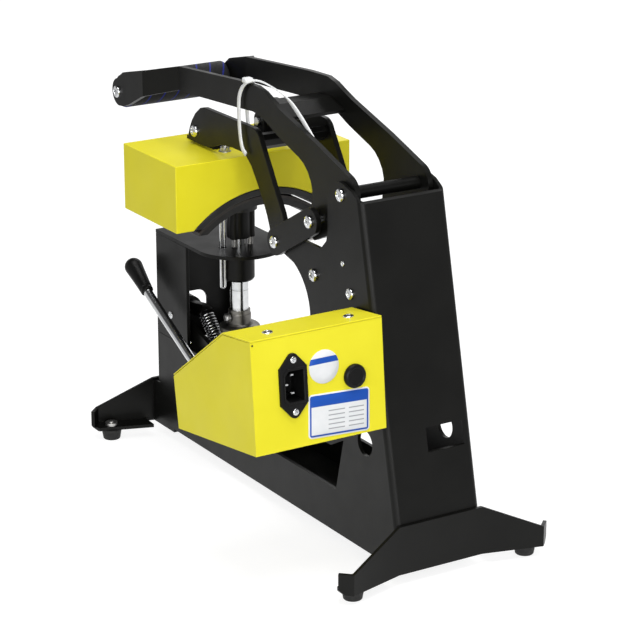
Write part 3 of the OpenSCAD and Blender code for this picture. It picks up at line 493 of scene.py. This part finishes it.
def addPiece(name, surfaces, body, slotName, nodes=(), sharp=38, material=None):
    # Each surface is a grid of points in millimetres, closed round its columns
    points, faces, first = [], [], 0
    for grid in surfaces:
        rows, columns = grid.shape[:2]
        here = np.arange(columns)
        after = (here + 1) % columns
        start = np.arange(rows - 1)[:, None] * columns
        quads = np.stack([start + here, start + after, start + columns + after, start + columns + here], -1)
        faces.append(quads.reshape(-1, 4) + first)
        points.append(grid.reshape(-1, 3))
        first += rows * columns
    mesh = bpy.data.meshes.new(name)
    mesh.from_pydata((np.concatenate(points) * mm).tolist(), [], np.concatenate(faces).tolist())
    work = bmesh.new()
    work.from_mesh(mesh)
    bmesh.ops.remove_doubles(work, verts=work.verts, dist=join)
    bmesh.ops.dissolve_degenerate(work, dist=1e-7, edges=work.edges)
    bmesh.ops.recalc_face_normals(work, faces=work.faces)
    work.to_mesh(mesh)
    work.free()
    mesh.shade_smooth()
    mesh.set_sharp_from_angle(angle=math.radians(sharp))
    mesh.materials.append(material or finishes[slotName])
    piece = bpy.data.objects.new(name, mesh)
    bpy.context.scene.collection.objects.link(piece)
    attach(piece, body)
    if nodes:
        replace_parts(piece, *nodes)
    return piece


screws = {
    "rings": 26,
    "columns": 72,
    "rim": 0.3,         # share of the height at the rim
    "armWide": 0.155,   # cross recess, as shares of the head's radius
    "armLong": 0.56,
    "armSlope": 0.05,
    "endSlope": 0.16,
    "deep": 0.55,       # share of the height
}
pivots = {
    "handle": (114, 293), "link": (76, 263), "knee": (23, 233),
    "arm": (75, 218.5), "heater": (-120, 292), "grip": gripLook["centre"],
}


def headShape(radius, height, twist):
    # A domed head whose height falls away in a cross: the recess is deepest where both the
    # distance from the nearest arm's middle line and the distance from the centre are small
    share = np.linspace(1, 0, screws["rings"])[:, None] * np.ones(screws["columns"])
    turn = np.linspace(0, 2 * np.pi, screws["columns"], endpoint=False)[None, :] + 0 * share
    across = np.abs(share * np.cos(turn))
    up = np.abs(share * np.sin(turn))
    low, high = np.minimum(across, up), np.maximum(across, up)
    inArm = np.clip((screws["armWide"] - low) / screws["armSlope"], 0, 1)
    inReach = np.clip((screws["armLong"] - high) / screws["endSlope"], 0, 1)
    dome = screws["rim"] + (1 - screws["rim"]) * np.sqrt(np.clip(1 - share**2, 0, 1))
    tall = height * (dome - screws["deep"] * inArm * inReach)
    foot = np.array([[0, 0], [1, 0]])
    share = np.concatenate([foot[:, :1] * np.ones(screws["columns"]), share])
    tall = np.concatenate([foot[:, 1:] * np.ones(screws["columns"]), tall])
    turn = np.concatenate([turn[:2], turn]) + twist
    return radius * share * np.cos(turn), radius * share * np.sin(turn), tall


def crossHead(side, at, centre, radius=5.2, height=3.0, twist=0.4):
    a, b, tall = headShape(radius, height, twist)
    return np.stack([side * (at + tall), centre[0] + a, centre[1] + b], -1)


def headOn(place, normal, radius, height, twist):
    # The same head on a face that leans back: across along X, up square to it and to the normal
    a, b, tall = headShape(radius, height, twist)
    normal = np.array(normal, float)
    across, up = np.array([1.0, 0, 0]), np.cross(normal, (1, 0, 0))
    return np.array(place, float) + a[..., None] * across + b[..., None] * up + tall[..., None] * normal


def shank(low, high, centre, radius=4.0):
    edge, long = 0.3, high - low
    profile = [(0, 0), (radius - edge, 0), (radius, edge),
               (radius, long - edge), (radius - edge, long), (0, long)]
    return turned(profile, (low, *centre), (1, 0, 0), 32)


def bothSides(make):
    return [part for side in (1, -1) for part in make(side)]


def sideShank(side, low, high, centre):
    return shank(min(side * low, side * high), max(side * low, side * high), centre)


# Distance from the middle to the outside of each plate
outside = {"cheek": 39, "arm": 35.5, "link": 44, "grip": 55}
frameScrews = {
    # place on the cheek, head radius, head height
    "both": [((117, 239), 2.2, 1), ((128, 217.5), 4.6, 2.6)],
    "boxSide": ((-162, 118), 3.4, 1.4),
}
addPiece("frame_screws_piece", bothSides(
    lambda s: [crossHead(s, outside["cheek"], *screw) for screw in frameScrews["both"]]
) + [crossHead(1, outside["cheek"], *frameScrews["boxSide"])], "frame", "bright_steel", ["frame_screws"])
addPiece("handle_pivot_bolts_piece", bothSides(lambda s: [
    sideShank(s, 18, outside["cheek"] + 0.4, pivots["handle"]),
    crossHead(s, outside["cheek"] + 0.3, pivots["handle"]),
]), "handle", "bright_steel", ["handle_pivot_bolts"])
addPiece("link_pins_piece", bothSides(lambda s: [
    sideShank(s, 31, outside["link"] + 0.2, pivots["link"]),
    crossHead(s, outside["link"] + 0.2, pivots["link"], twist=0.9),
]), "handle", "bright_steel", ["link_pins"])
addPiece("link_bolts_piece", bothSides(lambda s: [
    sideShank(s, 39.6, outside["link"], pivots["knee"]),
    crossHead(s, outside["link"], pivots["knee"], twist=0.1),
]), "links", "bright_steel", ["link_bolts"])
addPiece("arm_pivot_rod_piece", [
    shank(-outside["cheek"] - 0.4, outside["cheek"] + 0.4, pivots["arm"]),
] + bothSides(lambda s: [
    crossHead(s, outside["cheek"] + 0.3, pivots["arm"], twist=1.2),
]), "arm", "bright_steel", ["arm_pivot_rod"])
addPiece("heater_hinge_bolts_piece", bothSides(lambda s: [
    sideShank(s, 24, outside["arm"] + 0.1, pivots["heater"]),
    crossHead(s, outside["arm"], pivots["heater"]),
]), "arm", "bright_steel", ["heater_hinge_bolts"])
addPiece("grip_screws_piece", bothSides(lambda s: [
    crossHead(s, outside["grip"], pivots["grip"], twist=0.7),
]), "handle", "bright_steel", ["grip_screws"])
print("screws ready")


column = {
    "y": -110,
    "studs": [(7, 5), (-2, -9), (-9, 4)],
    "studEnds": (187.6, 213.5),
    "studRadius": 2.5,
    "pitch": 0.8,
    "threadDeep": 0.42,
    "post": {"low": 104, "radius": 8, "shoulder": 186.8, "neck": 6, "top": 197,
             "marks": (133, 150), "markWide": 1.2, "markDeep": 0.2},
}


def threadedStud(x, y, low, high):
    # The radius falls and rises once a pitch, and the phase turns once round with the angle
    rows = np.arange(low, high, column["pitch"] / 6)
    turn = np.linspace(0, 2 * np.pi, 20, endpoint=False)
    phase = (rows[:, None] / column["pitch"] - turn[None, :] / (2 * np.pi)) % 1
    radius = column["studRadius"] - column["threadDeep"] * np.abs(2 * phase - 1)
    rows = np.concatenate([[low], rows, [rows[-1]]])
    radius = np.concatenate([radius[:1] * 0, radius, radius[:1] * 0])
    return np.stack([x + radius * np.cos(turn), y + radius * np.sin(turn), rows[:, None] + 0 * radius], -1)


def postProfile():
    # A plain rod with two turned marks, a shoulder and a thinner neck
    post = column["post"]
    r, deep, wide = post["radius"], post["markDeep"], post["markWide"]
    marks = [point for z in post["marks"]
             for point in ((r, z), (r - deep, z + deep), (r - deep, z + wide - deep), (r, z + wide))]
    return ([(0, post["low"]), (r - 0.6, post["low"]), (r, post["low"] + 0.8)] + marks
            + [(r, post["shoulder"] - 0.6), (r - 0.4, post["shoulder"]), (post["neck"], post["shoulder"]),
               (post["neck"], post["top"]), (0, post["top"])])


addPiece("platen_studs_piece", [
    threadedStud(x, column["y"] + y, *column["studEnds"]) for x, y in column["studs"]
], "platen", "zinc_steel", ["platen_studs"], sharp=60)
addPiece("platen_post_piece", [turned(postProfile(), (0, column["y"], 0), (0, 0, 1), 64)],
         "platen", "bright_steel", ["platen_post"], sharp=30)
guide = {"x": 17, "y": -108, "low": 156, "high": 231.5, "bend": 1.9, "wire": 1.1}


def hairpin():
    # Two straight legs joined by half a turn at the bottom
    turn = np.linspace(0, np.pi, 15)
    x, z = guide["x"] - guide["bend"] * np.cos(turn), guide["low"] - guide["bend"] * np.sin(turn)
    legs = [[[guide["x"] + side * guide["bend"], guide["y"], guide["high"]]] for side in (-1, 1)]
    return np.concatenate([legs[0], np.stack([x, 0 * turn + guide["y"], z], 1), legs[1]])


addPiece("guide_rod_piece", [swept(hairpin(), circle(guide["wire"], 16))],
         "platen", "bright_steel", ["guide_rod"])
print("post ready")


lever = {
    "pivot": (52, -75, 84), "angle": 26.6, "long": 115, "radius": 4, "bend": 5,
    "knob": 38, "knobAngle": 33, "knobRound": 8, "knobNeck": 5.75,
    "hub": [(5.05, -9), (9.4, -9), (10, -8.4), (10, 7.4), (9.4, 8), (5.05, 8), (5.05, -9)],
    "ferrule": [(4.1, 0.3), (5.0, 0), (5.5, 0.4), (5.6, 1.2), (5.6, 2.8), (5.3, 3.2), (5.3, 3.8),
                (5.75, 4.3)],
    "boltPlace": (6.5, -143, 96), "boltAxis": (1, 0, 0.02), "boltLong": 24,
}


def forwardUp(degrees):
    return np.array([0, -math.cos(math.radians(degrees)), math.sin(math.radians(degrees))])


leverAlong = forwardUp(lever["angle"])
leverStart = np.array(lever["pivot"], float)
leverBend = leverStart + leverAlong * lever["long"]
knobAlong = lever["knob"] * forwardUp(lever["knobAngle"])


def bentRod():
    # Straight to just before the bend, a short quarter of a smooth curve, then straight into the knob
    t = np.linspace(0, 1, 14)[:, None]
    before, after = leverBend - leverAlong * lever["bend"], leverBend + knobAlong * 0.13
    bend = (1 - t) ** 2 * before + 2 * t * (1 - t) * leverBend + t**2 * after
    return np.concatenate([leverStart[None], bend, (leverBend + knobAlong * 0.55)[None]])


def knobProfile():
    # A ferrule, a flank that widens ever faster, and a round end
    r, neck = lever["knobRound"], lever["knobNeck"]
    long = lever["knob"] * 0.78
    flank = [(neck + (r - neck) * t**1.2, 4.4 + (long - 4.4) * t) for t in np.linspace(0.04, 0.98, 14)]
    end = [(r * math.cos(a), long + r * math.sin(a)) for a in np.linspace(0, math.pi / 2, 16)]
    return lever["ferrule"] + flank + end + [(0, long + r)]


addPiece("lever_rod_piece", [
    swept(bentRod(), circle(lever["radius"], 32)),
    turned(lever["hub"], leverStart - [1, 0, 0], (1, 0, 0), 48),
], "cap_lever", "bright_steel", ["lever_rod"])
addPiece("lever_knob_piece", [turned(knobProfile(), leverBend + knobAlong * 0.06, knobAlong, 56)],
         "cap_lever", "black_plastic", ["lever_knob"], sharp=40)

coil = {"top": (10.2, -150, 117), "low": (10.2, -128, 95.5), "radius": 5.9, "wire": 0.75, "curls": 11}


def springPath():
    # A helix between the two seats, with a short straight end on each
    top, low = np.array(coil["top"]), np.array(coil["low"])
    along = (low - top) / np.linalg.norm(low - top)
    side = np.array([1.0, 0, 0])
    third = np.cross(along, side)
    t = np.linspace(0, 1, coil["curls"] * 22 + 1)[:, None]
    turn = 2 * np.pi * coil["curls"] * t
    path = top + (low - top) * t + coil["radius"] * (np.cos(turn) * side + np.sin(turn) * third)
    end = along * coil["wire"] * 1.9
    return np.concatenate([path[:1] - end, path, path[-1:] + end])


spring = addPiece("lever_spring_piece", [swept(springPath(), circle(coil["wire"], 10))],
                  "frame", "bright_steel", ["lever_spring"])
# The spring bends between two bodies, so it doesn't ride with one
spring.parent = None
del spring["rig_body"]
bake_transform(spring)
boltEnd = lever["boltLong"]
addPiece("lever_cross_bolt", [
    turned([(0, 0), (1.1, 0), (1.1, boltEnd), (0, boltEnd)], lever["boltPlace"], lever["boltAxis"], 20),
    turned([(0, boltEnd - 0.5), (2.4, boltEnd - 0.5), (2.6, boltEnd), (2.2, boltEnd + 1.2),
            (0, boltEnd + 1.6)], lever["boltPlace"], lever["boltAxis"], 24),
], "cap_lever", "bright_steel")
print("lever ready")


tie = {
    "route": [(38.8, -30.3, 292.3), (39.3, -35.3, 296.7), (39.4, -38.5, 306.9), (39.2, -40.2, 319),
              (39, -40.9, 331.2), (38.8, -39.8, 339.7), (38.4, -35.5, 347.1), (37.4, -29.2, 352.4),
              (35, -24.6, 354.6), (31.5, -19.5, 354.8), (29.4, -9.8, 353.6), (29, 8.1, 351.1),
              (29, 23.3, 346.6), (29, 38.3, 338.4), (29, 51.7, 329.3), (29, 63.6, 319.8),
              (29, 70.9, 312.7), (29, 75.3, 306.5)],
    "inside": [(35, -27.5, 354.2), (31.4, -31, 351.5), (30.3, -36, 344), (30.2, -40.5, 331),
               (30.2, -40.5, 320), (30.2, -38, 310), (30.2, -35, 303)],
    "head": {"place": (36.6, -29.6, 353.7), "half": (3.6, 3.1, 2.1), "round": 0.6},
    "wide": 4.4, "thick": 1.1, "edge": 0.3,
    "plateMiddle": 33.2, "plateTop": 345,    # the plate that the strap goes round
    "smoothing": 10,
}


def smoothRoute(points, steps=8):
    # Through every point, each stretch a cubic that keeps the direction of its neighbours
    p = np.array(points, float)
    p = np.concatenate([[2 * p[0] - p[1]], p, [2 * p[-1] - p[-2]]])
    t = np.linspace(0, 1, steps, endpoint=False)[None, :, None]
    a, b, c, d = (p[i:len(p) - 3 + i][:, None] for i in range(4))
    curve = 0.5 * (2 * b + (c - a) * t + (2 * a - 5 * b + 4 * c - d) * t**2 + (3 * b - a - 3 * c + d) * t**3)
    return np.concatenate([curve.reshape(-1, 3), p[-2:-1]])


def strapGrid(route):
    # The strap stays flat to the plate that it goes round: its thickness points at the plate
    ahead = np.gradient(route, axis=0)
    ahead /= np.linalg.norm(ahead, axis=1)[:, None]
    middle = np.full(len(route), tie["plateMiddle"])
    core = np.stack([middle, route[:, 1], np.minimum(route[:, 2], tie["plateTop"])], 1)
    inward = core - route
    inward -= ahead * (inward * ahead).sum(1)[:, None]
    inward /= np.linalg.norm(inward, axis=1)[:, None]
    for _ in range(tie["smoothing"]):
        inward[1:-1] = inward[:-2] + inward[1:-1] * 2 + inward[2:]
        inward /= np.linalg.norm(inward, axis=1)[:, None]
    across = np.cross(ahead, inward)
    w, h, r = tie["wide"] / 2, tie["thick"], tie["edge"]
    outline = np.array([(-w + r, 0), (w - r, 0), (w, r), (w, h - r),
                        (w - r, h), (-w + r, h), (-w, h - r), (-w, r)])
    rows = route[:, None] + outline[None, :, :1] * across[:, None] + outline[None, :, 1:] * inward[:, None]
    return capped(rows, rows[0].mean(0), rows[-1].mean(0))


def roundRect(half, r, steps=7):
    points = []
    for k, (a, b) in enumerate(((1, 1), (-1, 1), (-1, -1), (1, -1))):
        for t in np.linspace(k * np.pi / 2, (k + 1) * np.pi / 2, steps):
            points.append((a * (half[0] - r) + r * math.cos(t), b * (half[1] - r) + r * math.sin(t)))
    return points


def roundBlock(place, half, r):
    # Rounded rectangles stacked along Z, the first and last drawn in by the rounding
    outline = np.array(roundRect(half, r, 5))
    rows = [(0, -half[2]), (0.82, -half[2]), (0.95, -half[2] + r * 0.35), (1, -half[2] + r),
            (1, half[2] - r), (0.95, half[2] - r * 0.35), (0.82, half[2]), (0, half[2])]
    grid = [np.column_stack([outline * k, np.full(len(outline), z)]) for k, z in rows]
    return np.array(place, float) + np.array(grid)


addPiece("cable_tie_piece", [
    strapGrid(smoothRoute(tie["route"])), strapGrid(smoothRoute(tie["inside"])),
    roundBlock(tie["head"]["place"], tie["head"]["half"], tie["head"]["round"]),
], "handle", "white_plastic", ["cable_tie"], sharp=50)
print("cable tie ready")


# The back of the control box leans: places on it are X and the height of the face
back = {"lean": math.radians(5.194), "low": (183, 126), "run": -8 / 88}
backOut = np.array([0, math.cos(back["lean"]), math.sin(back["lean"])])
backUp = np.array([0, -math.sin(back["lean"]), math.cos(back["lean"])])


def onBack(x, z, out=0.0):
    return np.array([x, back["low"][0] + (z - back["low"][1]) * back["run"], z]) + backOut * out


def backRing(place, outline, out):
    outline = np.array(outline, float)
    return place + outline[:, :1] * np.array([1.0, 0, 0]) + outline[:, 1:] * backUp + out * backOut


def polarRing(corners, turns):
    # Where rays at the given angles leave a convex outline round the middle
    corners = np.array(corners, float)
    found = []
    for t in turns:
        ray = np.array([math.cos(t), math.sin(t)])
        reach = []
        for a, b in zip(corners, np.roll(corners, -1, 0)):
            side = b - a
            under = ray[0] * side[1] - ray[1] * side[0]
            if abs(under) < 1e-9:    # the side runs along the ray
                continue
            far = (a[0] * side[1] - a[1] * side[0]) / under
            at = (a[0] * ray[1] - a[1] * ray[0]) / under
            if far > 0 and -1e-6 <= at <= 1 + 1e-6:
                reach.append(far)
        found.append(ray * min(reach))
    return np.array(found)


inlet = {
    "place": (121.5, 174.5), "side": 12, "straight": 14, "screwUp": 20, "endRound": 5, "endTurn": 0.767,
    "mouth": (8, 12), "cut": 3.4, "deep": 15.5, "body": (11.5, 14), "bodyDeep": 18,
    "blades": [(-2, 7), (-2, -7), (3, 0)], "bladeHalf": (2, 1), "bladeRound": 0.4, "bladeFront": -3.8,
}


def roundEnd(y, r, start, cut, steps=9):
    turns = np.linspace(start + cut, start + np.pi - cut, steps)
    return [(r * math.cos(t), y + r * math.sin(t)) for t in turns]


def makeInlet():
    w, h = inlet["side"], inlet["straight"]
    flange = [(w, -h), (w, h)] + roundEnd(inlet["screwUp"], inlet["endRound"], 0, inlet["endTurn"])
    flange += [(-w, h), (-w, -h)] + roundEnd(-inlet["screwUp"], inlet["endRound"], np.pi, inlet["endTurn"])
    a, b = inlet["mouth"]
    c = inlet["cut"]
    mouth = [(a, -b + c), (a, b - c), (a - c, b), (-a, b), (-a, -b), (a - c, -b)]
    body = [(inlet["body"][0] * i, inlet["body"][1] * j) for i, j in ((1, -1), (1, 1), (-1, 1), (-1, -1))]
    turns = {round(math.atan2(q, p), 5) for p, q in flange + mouth + body}
    turns = sorted(turns | {round(t, 5) for t in np.linspace(-3.1, 3.1, 40)})
    outlines = {"flange": flange, "mouth": mouth, "body": body}
    ring = {name: polarRing(points, turns) for name, points in outlines.items()}
    middle = onBack(*inlet["place"])
    rows = [
        # outline, its scale, distance out from the box
        ("body", 0, -inlet["bodyDeep"]), ("body", 1, -inlet["bodyDeep"]), ("body", 1, -0.02),
        ("flange", 1, -0.02), ("flange", 1, 1.7), ("flange", 0.975, 2.2),
        ("mouth", 1.16, 2.2), ("mouth", 1.12, 2.9), ("mouth", 1.05, 3.1), ("mouth", 1, 2.9),
        ("mouth", 0.98, -inlet["deep"]), ("mouth", 0, -inlet["deep"]),
    ]
    shell = np.array([backRing(middle, ring[name] * k, out) for name, k, out in rows])
    addPiece("power_inlet_piece", [shell], "frame", "black_plastic", ["power_inlet"], sharp=35)
    front = inlet["bladeFront"]
    blades = []
    for place in inlet["blades"]:
        outline = np.array(roundRect(inlet["bladeHalf"], inlet["bladeRound"], 4)) + place
        centre = np.array([place] * len(outline))
        tip = centre + (outline - centre) * 0.6
        rows = [(centre, -inlet["deep"]), (outline, -inlet["deep"]), (outline, front - 0.8), (tip, front),
                (centre, front)]
        blades.append(np.array([backRing(middle, points, out) for points, out in rows]))
    addPiece("inlet_blades", blades, "frame", "bright_steel", sharp=40)


def makeFilm(name, place, outline, material, nodes=(), askew=0):
    # A thin film; labelPlace holds where each point lies on it, in millimetres from its middle
    middle = onBack(*place)
    a, b = math.cos(math.radians(askew)), math.sin(math.radians(askew))
    outline = np.array(outline, float) @ np.array([(a, b), (-b, a)])
    rows = [(0, 0.01), (1, 0.01), (1, 0.42), (0.995, 0.5), (0.6, 0.5), (0, 0.5)]
    film = addPiece(name, [np.array([backRing(middle, outline * k, out) for k, out in rows])],
                    "frame", "label_film", nodes, sharp=60, material=material)
    points = np.empty(len(film.data.vertices) * 3)
    film.data.vertices.foreach_get("co", points)
    offset = points.reshape(-1, 3) / mm - middle
    u, v = offset[:, 0], offset @ backUp
    spot = np.stack([a * u + b * v, a * v - b * u, 0 * u], 1)
    film.data.attributes.new("labelPlace", "FLOAT_VECTOR", "POINT").data.foreach_set("vector", spot.ravel())


makeInlet()
plate, dot = labelLook["plate"], labelLook["dot"]
makeFilm("rating_film", plate["centre"], roundRect(plate["half"], plate["corner"]),
         finishes["label_film"], ["label_plates"], plate["askew"])
makeFilm("round_film", dot["centre"], circle(dot["radius"], 72), dotFilm)
fuse = {
    "place": (68, 172.2),
    "profile": [(0, -16), (8, -16), (8, 0.2), (9.1, 0.2), (9.3, 0.5), (9.3, 2.2), (8.8, 3.4), (7.9, 4.0),
                (6.8, 4.2), (6.4, 4.0), (6.1, 3.7), (0, 3.7)],
}
addPiece("fuse_cap_piece", [turned(fuse["profile"], onBack(*fuse["place"]), backOut, 64)],
         "fuse", "black_plastic", ["fuse_cap"], sharp=35)
lid = {"rise": 5, "run": 41, "start": (134, 209), "screwAlong": 26, "screws": ((61, 0.2), (132, 1.0))}
lidLean = math.atan2(lid["rise"], lid["run"])
lidOut = np.array([0, -math.sin(lidLean), math.cos(lidLean)])
lidAlong = np.array([0, math.cos(lidLean), math.sin(lidLean)])
lidSpot = np.array([0, *lid["start"]]) + lid["screwAlong"] * lidAlong + lidOut * 0.03
inletScrews = ((inlet["screwUp"], 0.7), (-inlet["screwUp"], 0.1))
addPiece("box_screws_piece", [
    headOn(lidSpot + [x, 0, 0], lidOut, 4.2, 1.9, twist) for x, twist in lid["screws"]
] + [
    headOn(onBack(inlet["place"][0], inlet["place"][1] + up, 2.2), backOut, 2.6, 1.4, twist)
    for up, twist in inletScrews
], "frame", "bright_steel", ["box_screws"])
# A thin black disc on the back of the box: painted shade that stands in for the dark inside of a small hole
# at its corner
holeShadeDisc = {"place": (154.2, 210.4), "radius": 0.8, "thick": 0.03}
holeShadeProfile = [(0, 0), (holeShadeDisc["radius"], 0), (holeShadeDisc["radius"], holeShadeDisc["thick"]),
               (0, holeShadeDisc["thick"])]
addPiece("corner_hole_painted_shade", [turned(holeShadeProfile, onBack(*holeShadeDisc["place"]), backOut, 20)],
         "frame", "black_plastic")
print("control box ready")


def gripProfile():
    # A thick tube with rounded ends, closed back to its start
    r, end, bore = gripLook["radius"], gripLook["half"], 4.02
    outer = [(r - 2, 0), (r - 0.6, 0.6), (r, 2)]
    return ([(bore, -end)] + [(radius, -end + inward) for radius, inward in outer]
            + [(radius, end - inward) for radius, inward in outer[::-1]] + [(bore, end), (bore, -end)])


addPiece("handle_grip_piece", [turned(gripProfile(), (0, *pivots["grip"]), (1, 0, 0), 72)],
         "handle", "grip_foam", ["handle_grip"], sharp=50)
feet = {
    "places": [(x, y) for x in (-81, 81) for y in (-199, 199)],
    "profile": [(0, 0.7), (2.6, 0.7), (3.1, 0), (7.0, 0), (7.5, 0.5), (8.7, 7.4), (9, 8.1), (9, 8.7),
                (8.7, 9), (0, 9)],
}
addPiece("rubber_feet_piece", [turned(feet["profile"], (x, y, 0), (0, 0, 1), 44) for x, y in feet["places"]],
         "frame", "foot_rubber", ["rubber_feet"])

nuts = {
    "places": [(x, -88) for x in (-25, 25)],
    "washer": [(0, 280.05), (5.0, 280.05), (5.2, 280.2), (5.2, 280.7), (5.0, 280.85), (0, 280.85)],
    "hex": (280.85, 284.0, 4.6),    # low, high, radius at the corners
    "stud": [(0, 255), (2.5, 255), (2.5, 284.9), (2.0, 285.4), (0, 285.4)],
}


def hexNut(place, low, high, corner):
    # Six flats whose upper corners are cut back to a cone
    turn = np.linspace(0, 2 * np.pi, 48, endpoint=False)
    flat = corner * math.cos(math.pi / 6)
    radius = flat / np.cos((turn % (math.pi / 3)) - math.pi / 6)
    top = np.minimum(radius, flat * 1.01)
    rows = [(0 * turn, low), (radius, low), (radius, high - 0.55), (top, high), (0 * turn, high)]
    return np.stack([
        np.stack([place[0] + r * np.cos(turn), place[1] + r * np.sin(turn), 0 * turn + z], -1)
        for r, z in rows])


addPiece("heater_nuts_piece", [part for x, y in nuts["places"] for part in (
    turned(nuts["washer"], (x, y, 0), (0, 0, 1), 40),
    hexNut((x, y), *nuts["hex"]),
    turned(nuts["stud"], (x, y, 0), (0, 0, 1), 24),
)], "heater", "zinc_steel", ["heater_nuts"], sharp=30)
print("grip, feet and nuts ready")

done = {n for o in bpy.data.objects for n in o.get("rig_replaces", [])}
for node in frame["nodes"]:
    if node not in done:
        brokenEdges(node)
print("pieces ready")
